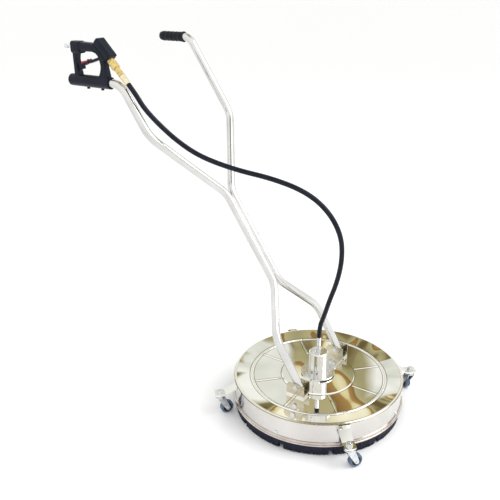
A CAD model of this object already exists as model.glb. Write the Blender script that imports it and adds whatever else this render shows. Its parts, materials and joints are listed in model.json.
"""Rotary surface cleaner: polished deck on casters, tube handle, trigger gun and hose, built round its
CAD frame. Metres, +Z up, +Y forwards, the origin on the deck axis at floor level."""

import json
import math
import random

import bmesh
import bpy
from mathutils import Matrix, Vector

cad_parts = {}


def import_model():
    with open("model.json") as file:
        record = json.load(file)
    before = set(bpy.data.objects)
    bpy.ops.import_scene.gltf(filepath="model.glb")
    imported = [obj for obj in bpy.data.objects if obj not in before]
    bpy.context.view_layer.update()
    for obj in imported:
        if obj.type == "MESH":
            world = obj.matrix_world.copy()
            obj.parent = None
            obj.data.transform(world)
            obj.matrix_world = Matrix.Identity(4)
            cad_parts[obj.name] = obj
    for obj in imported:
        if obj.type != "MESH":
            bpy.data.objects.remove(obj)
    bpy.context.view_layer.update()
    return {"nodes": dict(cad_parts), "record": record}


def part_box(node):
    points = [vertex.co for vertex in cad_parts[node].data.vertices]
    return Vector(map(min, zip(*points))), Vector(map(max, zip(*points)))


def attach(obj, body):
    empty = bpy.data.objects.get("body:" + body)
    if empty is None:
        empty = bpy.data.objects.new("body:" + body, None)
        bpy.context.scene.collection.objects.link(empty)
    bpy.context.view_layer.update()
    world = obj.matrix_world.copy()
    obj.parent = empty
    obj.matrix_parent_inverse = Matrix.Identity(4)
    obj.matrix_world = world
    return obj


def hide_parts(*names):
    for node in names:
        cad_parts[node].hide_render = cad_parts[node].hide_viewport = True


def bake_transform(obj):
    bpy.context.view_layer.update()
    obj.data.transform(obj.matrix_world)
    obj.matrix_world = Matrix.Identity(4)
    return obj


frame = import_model()
nodes = frame["nodes"]

# part of a noise texture's range over which a colour or a roughness changes
NOISE_LOW = 0.3
NOISE_HIGH = 0.7


# ---- node trees ----
class Graph:
    """The node tree of a material or a world. A value is a number, a colour or another node's output."""

    def __init__(self, tree, coordinates):
        self.tree = tree
        self.place = self.add("ShaderNodeTexCoord").outputs[coordinates]

    def add(self, kind):
        return self.tree.nodes.new(kind)

    def feed(self, socket, value):
        """Link an input to another node's output, or set it."""
        if isinstance(value, bpy.types.NodeSocket):
            self.tree.links.new(value, socket)
        else:
            socket.default_value = value

    def calc(self, operation, *values, kind="ShaderNodeMath"):
        """Result of a Math or Vector Math node."""
        node = self.add(kind)
        node.operation = operation
        for socket, value in zip(node.inputs, values):
            self.feed(socket, value)
        return node.outputs["Value"]

    def apart(self, value, middle):
        """How far a value is from a middle."""
        return self.calc("ABSOLUTE", self.calc("SUBTRACT", value, middle))

    def spread(self, value, start, end, low=0.0, high=1.0):
        """Runs from low to high as the value goes from start to end, and stays there."""
        node = self.add("ShaderNodeMapRange")
        names = ("Value", "From Min", "From Max", "To Min", "To Max")
        for name, number in zip(names, (value, start, end, low, high)):
            self.feed(node.inputs[name], number)
        return node.outputs["Result"]

    def stretched(self, stretch):
        """Coordinates scaled along each axis."""
        mapping = self.add("ShaderNodeMapping")
        self.feed(mapping.inputs["Scale"], stretch)
        self.feed(mapping.inputs["Vector"], self.place)
        return mapping.outputs["Vector"]

    def noise(self, scale, detail, stretch=None, distortion=0.0):
        texture = self.add("ShaderNodeTexNoise")
        self.feed(texture.inputs["Scale"], scale)
        self.feed(texture.inputs["Detail"], detail)
        self.feed(texture.inputs["Distortion"], distortion)
        self.feed(texture.inputs["Vector"], self.stretched(stretch) if stretch else self.place)
        return texture.outputs["Fac"]

    def ramp(self, fac, stops):
        """Colour that runs through the stops, each a position and a colour."""
        node = self.add("ShaderNodeValToRGB")
        elements = node.color_ramp.elements
        while len(elements) < len(stops):
            elements.new(0.5)
        for element, (position, colour) in zip(elements, stops):
            element.position = position
            element.color = (*colour, 1)
        self.feed(node.inputs["Fac"], fac)
        return node.outputs["Color"]

    def layer(self, fac, under, over):
        """Mix of two colours: the first where the factor is 0, the second where it is 1."""
        node = self.add("ShaderNodeMix")
        node.data_type = "RGBA"
        for name, value in zip(("Factor", "A", "B"), (fac, under, over)):
            self.feed(node.inputs[name], value)
        return node.outputs["Result"]


class Look(Graph):
    """A material with one Principled shader, whose inputs are built up in steps."""

    def __init__(self, name, colour, metallic, roughness):
        self.material = bpy.data.materials.new(name)
        self.material.use_nodes = True
        self.material.diffuse_color = (*colour, 1)
        super().__init__(self.material.node_tree, "Object")
        self.shader = self.tree.nodes["Principled BSDF"]
        self.set("Base Color", (*colour, 1))
        self.set("Metallic", metallic)
        self.set("Roughness", roughness)

    def set(self, name, value):
        self.feed(self.shader.inputs[name], value)

    def colours(self, fac, low, high):
        """Base colour that runs from low to high with a noise."""
        self.set("Base Color", self.ramp(fac, [(NOISE_LOW, low), (NOISE_HIGH, high)]))

    def tinted(self, fac, colour):
        """Base colour that changes to another where the factor is 1."""
        under = self.shader.inputs["Base Color"].links[0].from_socket
        self.set("Base Color", self.layer(fac, under, (*colour, 1)))

    def gloss(self, fac, low, high):
        """Roughness that runs from low to high with a noise."""
        self.set("Roughness", self.spread(fac, NOISE_LOW, NOISE_HIGH, low, high))

    def bump(self, fac, distance, strength):
        """Bumps up to distance metres high."""
        node = self.add("ShaderNodeBump")
        self.feed(node.inputs["Distance"], distance)
        self.feed(node.inputs["Strength"], strength)
        self.feed(node.inputs["Height"], fac)
        self.set("Normal", node.outputs["Normal"])


# ---- metals ----
def polished_steel(name="polished_steel"):
    look = Look(name, (0.88, 0.87, 0.83), 1.0, 0.05)
    look.colours(look.noise(9, 2), (0.80, 0.79, 0.735), (0.89, 0.88, 0.84))
    look.gloss(look.noise(60, 4), 0.01, 0.025)
    look.bump(look.noise(7, 0), 0.0012, 0.8)
    return look


# lines on the lid, by their distance from the deck's axis
ROLLED_EDGE = (0.2625, 0.2640)
ROLLED_EDGE_COLOUR = (0.34, 0.27, 0.15)
RING_CREASES = (0.1165, 0.2028, 0.2155)
RING_CREASE_HALF = 0.0016
RIB_COUNT = 8
RIB_SIDE = 0.0047
RIB_MIDDLE = 0.163
RIB_REACH = 0.043
RIB_CREASE_HALF = 0.0014
CREASE_COLOUR = (0.36, 0.32, 0.24)


def axis_distance(look):
    """Distance from the deck's axis."""
    return look.calc("LENGTH", look.stretched((1, 1, 0)), kind="ShaderNodeVectorMath")


def rib_side_distance(look):
    """Distance from the nearest side of the lid's radial ribs."""
    split = look.add("ShaderNodeSeparateXYZ")
    look.feed(split.inputs[0], look.place)
    angle = look.calc("ARCTAN2", split.outputs["Y"], split.outputs["X"])
    wave = look.calc("ABSOLUTE", look.calc("SINE", look.calc("MULTIPLY", angle, RIB_COUNT / 2)))
    aside = look.calc("MULTIPLY", wave, look.calc("MULTIPLY", axis_distance(look), 2 / RIB_COUNT))
    past_end = look.calc("SUBTRACT", look.apart(axis_distance(look), RIB_MIDDLE), RIB_REACH)
    return look.calc("ADD", look.apart(aside, RIB_SIDE), look.calc("MAXIMUM", past_end, 0.0))


def creased(look, distance, half_width):
    """Thin line where the distance is 0."""
    look.tinted(look.spread(distance, half_width, half_width / 2), CREASE_COLOUR)


def lid_steel():
    """Polished steel with a dark rolled edge and dull creases beside the pressed rings and ribs."""
    look = polished_steel("lid_steel")
    look.tinted(look.spread(axis_distance(look), *ROLLED_EDGE), ROLLED_EDGE_COLOUR)
    for radius in RING_CREASES:
        creased(look, look.apart(axis_distance(look), radius), RING_CREASE_HALF)
    creased(look, rib_side_distance(look), RIB_CREASE_HALF)
    return look


def satin_steel():
    look = Look("satin_steel", (0.66, 0.655, 0.64), 1.0, 0.2)
    look.colours(look.noise(14, 3), (0.60, 0.595, 0.58), (0.71, 0.705, 0.69))
    look.gloss(look.noise(80, 4, (1, 1, 0.12)), 0.14, 0.24)
    look.bump(look.noise(300, 2, (1, 1, 0.08)), 0.00001, 0.4)
    return look


def bracket_steel():
    """Brushed plate with a warm tint."""
    look = Look("bracket_steel", (0.60, 0.56, 0.44), 1.0, 0.25)
    look.colours(look.noise(60, 3, (1, 0.2, 1)), (0.50, 0.45, 0.33), (0.68, 0.64, 0.52))
    look.gloss(look.noise(120, 4, (1, 0.1, 1)), 0.16, 0.30)
    look.bump(look.noise(500, 2, (1, 0.05, 1)), 0.00001, 0.4)
    return look


def wall_steel():
    """Rolled sheet with slow waves."""
    look = Look("wall_steel", (0.66, 0.64, 0.61), 1.0, 0.16)
    look.colours(look.noise(6, 3), (0.58, 0.555, 0.525), (0.71, 0.69, 0.665))
    look.gloss(look.noise(40, 4, (0.1, 0.1, 1)), 0.1, 0.2)
    look.bump(look.noise(5, 2), 0.0022, 0.8)
    return look


def lip_steel():
    look = Look("lip_steel", (0.56, 0.51, 0.47), 1.0, 0.12)
    look.colours(look.noise(25, 3), (0.46, 0.40, 0.36), (0.64, 0.59, 0.55))
    look.gloss(look.noise(80, 3), 0.08, 0.18)
    return look


def turned_steel():
    look = Look("turned_steel", (0.74, 0.73, 0.70), 1.0, 0.2)
    look.colours(look.noise(40, 3), (0.66, 0.65, 0.62), (0.80, 0.79, 0.76))
    look.gloss(look.noise(200, 4, (0.15, 0.15, 1)), 0.12, 0.26)
    look.bump(look.noise(1500, 2, (0.05, 0.05, 1)), 0.00002, 0.5)
    return look


def zinc():
    look = Look("zinc", (0.70, 0.72, 0.74), 1.0, 0.25)
    look.colours(look.noise(90, 4), (0.60, 0.62, 0.64), (0.78, 0.80, 0.82))
    look.gloss(look.noise(160, 5), 0.16, 0.36)
    look.bump(look.noise(600, 3), 0.00004, 0.6)
    return look


def brass():
    look = Look("brass", (0.70, 0.54, 0.23), 1.0, 0.22)
    look.colours(look.noise(120, 4), (0.62, 0.46, 0.17), (0.77, 0.62, 0.29))
    look.gloss(look.noise(180, 4), 0.16, 0.32)
    look.bump(look.noise(700, 3), 0.00003, 0.5)
    return look


def pale_brass():
    look = Look("pale_brass", (0.80, 0.70, 0.48), 1.0, 0.25)
    look.colours(look.noise(90, 4), (0.72, 0.61, 0.38), (0.86, 0.78, 0.58))
    look.gloss(look.noise(180, 4), 0.18, 0.34)
    look.bump(look.noise(500, 3), 0.00003, 0.5)
    return look


# ---- plastics and rubbers ----
def moulded_plastic(name, dark, light, roughness):
    """Grained moulded plastic."""
    look = Look(name, light, 0.0, roughness)
    look.colours(look.noise(35, 4), dark, light)
    look.gloss(look.noise(150, 3), roughness - 0.06, roughness + 0.08)
    look.bump(look.noise(1800, 2), 0.00008, 0.5)
    look.set("Specular IOR Level", 0.16)
    return look


def rubber(name, dark, light, roughness, grain=900):
    """Soft rubber with a faint bloom."""
    look = Look(name, light, 0.0, roughness)
    look.colours(look.noise(45, 5), dark, light)
    look.gloss(look.noise(110, 4), roughness - 0.08, roughness + 0.08)
    look.bump(look.noise(grain, 3), 0.0001, 0.5)
    look.set("Specular IOR Level", 0.2)
    return look


def bristle():
    look = Look("bristle", (0.004, 0.006, 0.02), 0.0, 0.5)
    look.colours(look.noise(400, 2, (1, 1, 0.05)), (0.001, 0.002, 0.007), (0.008, 0.010, 0.032))
    look.set("Specular IOR Level", 0.3)
    return look


# ---- looks of the CAD nodes: by record slot, and by name where a node differs from its slot ----
SLOT_LOOKS = {
    "polished_steel": polished_steel(),
    "satin_steel": satin_steel(),
    "turned_steel": turned_steel(),
    "zinc": zinc(),
    "brass": brass(),
    "bristle": bristle(),
    "gun_plastic": moulded_plastic("gun_plastic", (0.003, 0.005, 0.011), (0.007, 0.011, 0.022), 0.34),
    "latch_red": moulded_plastic("latch_red", (0.42, 0.03, 0.07), (0.62, 0.08, 0.13), 0.35),
    "grip_rubber": rubber("grip_rubber", (0.002, 0.003, 0.007), (0.008, 0.010, 0.018), 0.5),
    "hose_rubber": rubber("hose_rubber", (0.002, 0.003, 0.008), (0.007, 0.009, 0.020), 0.34, 500),
    "tyre_rubber": rubber("tyre_rubber", (0.06, 0.085, 0.13), (0.13, 0.17, 0.24), 0.4),
    "seal_rubber": rubber("seal_rubber", (0.01, 0.01, 0.012), (0.03, 0.03, 0.034), 0.5),
}
BRACKET_LOOK = bracket_steel()
NODE_LOOKS = {
    "deck_cover": lid_steel(),
    "deck_wall": wall_steel(),
    "deck_lip": lip_steel(),
    "handle_bracket_right": BRACKET_LOOK,
    "handle_bracket_left": BRACKET_LOOK,
    "trigger_pin": SLOT_LOOKS["gun_plastic"],
    "hose_ferrule_gun": pale_brass(),
}

for subpart in frame["record"]["subparts"]:
    label = subpart["node"]
    node_look = NODE_LOOKS.get(label, SLOT_LOOKS[subpart["material_slot"]])
    nodes[label].data.materials.clear()
    nodes[label].data.materials.append(node_look.material)


def made(name, mesh, slot):
    """New object from a mesh, with the look of a record slot."""
    piece = bpy.data.objects.new(name, mesh)
    bpy.context.scene.collection.objects.link(piece)
    mesh.materials.append(SLOT_LOOKS[slot].material)
    return piece


# ---- moulded pieces with soft edges ----
def softened(label, slot, body, voxel, passes):
    """Replace a CAD node by the same shape with rounded edges."""
    draft = bpy.data.objects.new("draft", nodes[label].data.copy())
    draft.matrix_world = nodes[label].matrix_world
    bpy.context.scene.collection.objects.link(draft)
    remesh = draft.modifiers.new("remesh", "REMESH")
    remesh.mode = "VOXEL"
    remesh.voxel_size = voxel
    smooth = draft.modifiers.new("smooth", "SMOOTH")
    smooth.factor = 0.5
    smooth.iterations = passes
    graph = bpy.context.evaluated_depsgraph_get()
    mesh = bpy.data.meshes.new_from_object(draft.evaluated_get(graph))
    mesh.name = f"{label}_soft"
    bpy.data.objects.remove(draft)
    mesh.materials.clear()
    for face in mesh.polygons:
        face.use_smooth = True
    piece = made(f"{label}_soft", mesh, slot)
    piece.matrix_world = nodes[label].matrix_world
    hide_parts(label)
    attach(piece, body)


softened("gun_body", "gun_plastic", "handle", voxel=0.0011, passes=5)
softened("gun_cover", "gun_plastic", "handle", voxel=0.0009, passes=6)
softened("trigger", "gun_plastic", "trigger", voxel=0.0006, passes=3)

# ---- hose ----
HOSE_RADIUS = 0.00725
HOSE_SIDES = 20
HOSE_STEPS = 10
# from the gun's tail to the deck's inlet
HOSE_ROUTE = [
    (0.198, -0.5318, 0.9908),
    (0.198, -0.50776, 0.96676),
    (0.191, -0.485, 0.927),
    (0.173, -0.451, 0.883),
    (0.155, -0.400, 0.836),
    (0.136, -0.333, 0.795),
    (0.110, -0.231, 0.766),
    (0.081, -0.115, 0.749),
    (0.057, -0.022, 0.719),
    (0.042, 0.040, 0.669),
    (0.032, 0.075, 0.602),
    (0.024, 0.077, 0.529),
    (0.016, 0.061, 0.452),
    (0.009, 0.034, 0.377),
    (0.001, 0.015, 0.317),
    (0, 0, 0.276),
    (0, 0, 0.238),
]


def spline_points(route, resolution):
    """Points along the smooth NURBS curve with these control points."""
    data = bpy.data.curves.new("route", "CURVE")
    data.dimensions = "3D"
    data.resolution_u = resolution
    spline = data.splines.new("NURBS")
    spline.points.add(len(route) - 1)
    for point, place in zip(spline.points, route):
        point.co = (*place, 1)
    spline.order_u = 3
    spline.use_endpoint_u = True
    holder = bpy.data.objects.new("route", data)
    bpy.context.scene.collection.objects.link(holder)
    bpy.context.view_layer.update()
    line = bpy.data.meshes.new_from_object(holder)
    points = [vertex.co.copy() for vertex in line.vertices]
    bpy.data.objects.remove(holder)
    return points


def tube_mesh(name, points, radius, sides):
    """Closed round tube along the points."""
    builder = bmesh.new()
    angles = [2 * math.pi * step / sides for step in range(sides)]
    forward = (points[1] - points[0]).normalized()
    across = forward.orthogonal().normalized()
    loops = []
    for index, point in enumerate(points):
        ahead = points[min(index + 1, len(points) - 1)]
        behind = points[max(index - 1, 0)]
        new_forward = (ahead - behind).normalized()
        across = (forward.rotation_difference(new_forward) @ across).normalized()
        forward = new_forward
        side = forward.cross(across)
        spokes = [math.cos(angle) * across + math.sin(angle) * side for angle in angles]
        loops.append([builder.verts.new(point + radius * spoke) for spoke in spokes])
    for low, high in zip(loops, loops[1:]):
        for step in range(sides):
            after = (step + 1) % sides
            builder.faces.new((low[step], low[after], high[after], high[step]))
    builder.faces.new(reversed(loops[0]))
    builder.faces.new(loops[-1])
    for face in builder.faces:
        face.smooth = len(face.verts) == 4
    mesh = bpy.data.meshes.new(name)
    builder.to_mesh(mesh)
    builder.free()
    return mesh


hose_line = spline_points(HOSE_ROUTE, HOSE_STEPS)
hose_mesh = tube_mesh("hose_cover", hose_line, HOSE_RADIUS, HOSE_SIDES)
hose = made("hose_cover", hose_mesh, "hose_rubber")
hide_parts("hose")
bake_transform(hose)


# ---- brush ----
BRUSH_INNER_R = 0.2514
BRUSH_OUTER_R = 0.2602
BRUSH_ROOT_Z = 0.0345
ROW_COUNT = 4
ROW_INSET = 0.0012
TUFTS_IN_ROW = 620
TUFT_ROOT_HALF = 0.00125
TUFT_TIP_HALF = 0.00095
NOTCH_COUNT = 11
NOTCH_START = math.radians(5)
NOTCH_HALF_WIDTH = 0.0065
NOTCH_Z = 0.016
# largest uneven place, in tuft spacings, and largest uneven length and lean, in metres
UNEVEN_PLACE = 0.2
UNEVEN_LENGTH = 0.0016
LEAN_OUTWARD = 0.0006
LEAN_ALONG = 0.0012


def in_notch(angle, radius):
    """Whether a place on the brush is inside one of the notches in its lower edge."""
    pitch = 2 * math.pi / NOTCH_COUNT
    turns = (angle - NOTCH_START) / pitch
    return abs(turns - round(turns)) * pitch * radius < NOTCH_HALF_WIDTH


def add_tuft(builder, root, tip, outward, along):
    """Square tuft that tapers from its root to its tip."""
    rings = []
    for centre, half in ((root, TUFT_ROOT_HALF), (tip, TUFT_TIP_HALF)):
        spokes = [half * (u * along + v * outward) for u, v in ((-1, -1), (1, -1), (1, 1), (-1, 1))]
        rings.append([builder.verts.new(centre + spoke) for spoke in spokes])
    for side in range(4):
        after = (side + 1) % 4
        builder.faces.new((rings[0][side], rings[1][side], rings[1][after], rings[0][after]))
    builder.faces.new(rings[0])
    builder.faces.new(reversed(rings[1]))


def brush_mesh(name):
    """Rows of bristle tufts, shorter at the notches."""
    tip_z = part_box("brush_skirt")[0].z
    row_gap = (BRUSH_OUTER_R - BRUSH_INNER_R - 2 * ROW_INSET) / (ROW_COUNT - 1)
    chance = random.Random(4)
    builder = bmesh.new()
    for row in range(ROW_COUNT):
        radius = BRUSH_OUTER_R - ROW_INSET - row * row_gap
        stagger = 0.5 * (row % 2)
        for step in range(TUFTS_IN_ROW):
            place = step + stagger + chance.uniform(-UNEVEN_PLACE, UNEVEN_PLACE)
            angle = 2 * math.pi * place / TUFTS_IN_ROW
            end_z = NOTCH_Z if in_notch(angle, radius) else tip_z
            end_z += chance.uniform(0, UNEVEN_LENGTH)
            outward = Vector((math.cos(angle), math.sin(angle), 0))
            along = Vector((-math.sin(angle), math.cos(angle), 0))
            lean = chance.uniform(-LEAN_OUTWARD, LEAN_OUTWARD) * outward
            lean += chance.uniform(-LEAN_ALONG, LEAN_ALONG) * along
            root = radius * outward + Vector((0, 0, BRUSH_ROOT_Z))
            tip = radius * outward + lean + Vector((0, 0, end_z))
            add_tuft(builder, root, tip, outward, along)
    mesh = bpy.data.meshes.new(name)
    builder.to_mesh(mesh)
    builder.free()
    return mesh


brush = made("brush_bristles", brush_mesh("brush_bristles"), "bristle")
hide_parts("brush_skirt")
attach(brush, "deck")

# ---- stage ----
FLOOR_HALF = 40.0

scene = bpy.context.scene
scene.view_settings.view_transform = "Standard"


def floor():
    mesh = bpy.data.meshes.new("floor")
    corners = [(x * FLOOR_HALF, y * FLOOR_HALF, 0) for x, y in ((-1, -1), (1, -1), (1, 1), (-1, 1))]
    mesh.from_pydata(corners, [], [(0, 1, 2, 3)])
    plane = bpy.data.objects.new("floor", mesh)
    scene.collection.objects.link(plane)
    look = Look("floor_paper", (0.97, 0.975, 0.985), 0.0, 0.7)
    look.colours(look.noise(3, 2), (0.965, 0.97, 0.985), (0.975, 0.978, 0.985))
    mesh.materials.append(look.material)


# ---- studio: white, with a pale wall and a dark, warm screen on it for the polished lid to mirror ----
STUDIO_STRENGTH = 1.22
STUDIO_WHITE = (1.0, 1.0, 1.0, 1)
ROOF_GREY = (0.30, 0.30, 0.28, 1)
TOWARDS_WALL = (-0.8245, -0.5659, 0)
ALONG_WALL = (-0.5659, 0.8245, 0)
UPWARDS = (0, 0, 1)
WALL_COLOURS = [(0.35, (0.60, 0.62, 0.56)), (0.6, (0.84, 0.85, 0.82))]
SCREEN_COLOURS = [
    (0.39, (0.13, 0.10, 0.04)),
    (0.455, (0.24, 0.20, 0.095)),
    (0.46, (0.30, 0.27, 0.14)),
    (0.54, (0.44, 0.40, 0.22)),
    (0.545, (0.22, 0.125, 0.04)),
    (0.595, (0.36, 0.23, 0.085)),
    (0.60, (0.62, 0.54, 0.27)),
    (0.68, (0.93, 0.90, 0.74)),
]
# soft edges: where the thing is absent and where it is whole, along one of the three directions
WALL_SIDE_EDGE = (0.1, 0.3)
WALL_LOW_EDGE = (0.2, 0.26)
ROOF_EDGE = (0.95, 0.97)
SCREEN_LEFT_EDGE = (0.045, 0.055)
SCREEN_RIGHT_EDGE = (0.165, 0.15)
WING_RIGHT_EDGE = (0.185, 0.175)
HIGH_WING_EDGES = (0.572, 0.58), (0.64, 0.63)
LOW_WING_EDGES = (0.485, 0.495), (0.535, 0.525)
# high up, the screen reaches further left by this much
STEP_EDGE = (0.63, 0.66)
STEP_WIDTH = 0.1
# how far the screen's sides wander
WOBBLE_WIDTH = 0.14


def world():
    surroundings = bpy.data.worlds.new("studio")
    scene.world = surroundings
    surroundings.use_nodes = True
    graph = Graph(surroundings.node_tree, "Generated")

    def along(direction):
        return graph.calc("DOT_PRODUCT", graph.place, direction, kind="ShaderNodeVectorMath")

    def times(first, second):
        return graph.calc("MULTIPLY", first, second)

    def band(edges):
        """1 between two heights."""
        low_edge, high_edge = edges
        return times(graph.spread(height, *low_edge), graph.spread(height, *high_edge))

    height = along(UPWARDS)
    wobble = times(graph.calc("SUBTRACT", graph.noise(5.0, 1.0), 0.5), WOBBLE_WIDTH)
    sideways = graph.calc("ADD", along(ALONG_WALL), wobble)
    wall_side = graph.spread(along(TOWARDS_WALL), *WALL_SIDE_EDGE)
    wall = times(wall_side, graph.spread(height, *WALL_LOW_EDGE))
    step = times(graph.spread(height, *STEP_EDGE), STEP_WIDTH)
    left = graph.spread(graph.calc("ADD", sideways, step), *SCREEN_LEFT_EDGE)
    right = graph.spread(sideways, *SCREEN_RIGHT_EDGE)
    bands = graph.calc("ADD", band(HIGH_WING_EDGES), band(LOW_WING_EDGES))
    wings = times(bands, graph.spread(sideways, *WING_RIGHT_EDGE))
    screen = times(times(graph.calc("MAXIMUM", right, wings), left), wall)
    wall_colour = graph.ramp(graph.noise(5.0, 3.0, distortion=0.6), WALL_COLOURS)
    screen_colour = graph.ramp(graph.noise(10.0, 1.5, distortion=0.8), SCREEN_COLOURS)
    walled = graph.layer(wall, STUDIO_WHITE, wall_colour)
    screened = graph.layer(screen, walled, screen_colour)
    roofed = graph.layer(graph.spread(height, *ROOF_EDGE), screened, ROOF_GREY)
    background = surroundings.node_tree.nodes["Background"]
    graph.feed(background.inputs["Color"], roofed)
    graph.feed(background.inputs["Strength"], STUDIO_STRENGTH)


# ---- light and camera ----
KEY_PLACE = (-1.0, 2.2, 3.0)
KEY_TARGET = (0, 0, 0.2)
KEY_SIZE = 2.5
KEY_POWER = 60
EYE = (1.5567, 0.8125, 1.2812)
LENS = 46.8
SENSOR_WIDTH = 36.0
VIEW_LIMIT = 100.0
# degrees: direction from +X, angle below the horizon, and turn about the line of sight
HEADING = 214.46
DOWNWARDS = 23.19
ROLL = -0.65


def key_light():
    """Large soft lamp above the front left."""
    data = bpy.data.lights.new("key", "AREA")
    data.size = KEY_SIZE
    data.energy = KEY_POWER
    light = bpy.data.objects.new("key", data)
    light.location = KEY_PLACE
    light.rotation_euler = (Vector(KEY_TARGET) - Vector(KEY_PLACE)).to_track_quat("-Z", "Y").to_euler()
    scene.collection.objects.link(light)


def camera():
    data = bpy.data.cameras.new("camera")
    data.lens = LENS
    data.sensor_width = SENSOR_WIDTH
    data.clip_end = VIEW_LIMIT
    eye = bpy.data.objects.new("camera", data)
    turn = Matrix.Rotation(math.radians(HEADING - 90), 4, "Z")
    tilt = Matrix.Rotation(math.radians(90 - DOWNWARDS), 4, "X")
    lean = Matrix.Rotation(math.radians(ROLL), 4, "Z")
    eye.matrix_world = Matrix.Translation(EYE) @ turn @ tilt @ lean
    scene.collection.objects.link(eye)
    scene.camera = eye


floor()
world()
key_light()
camera()
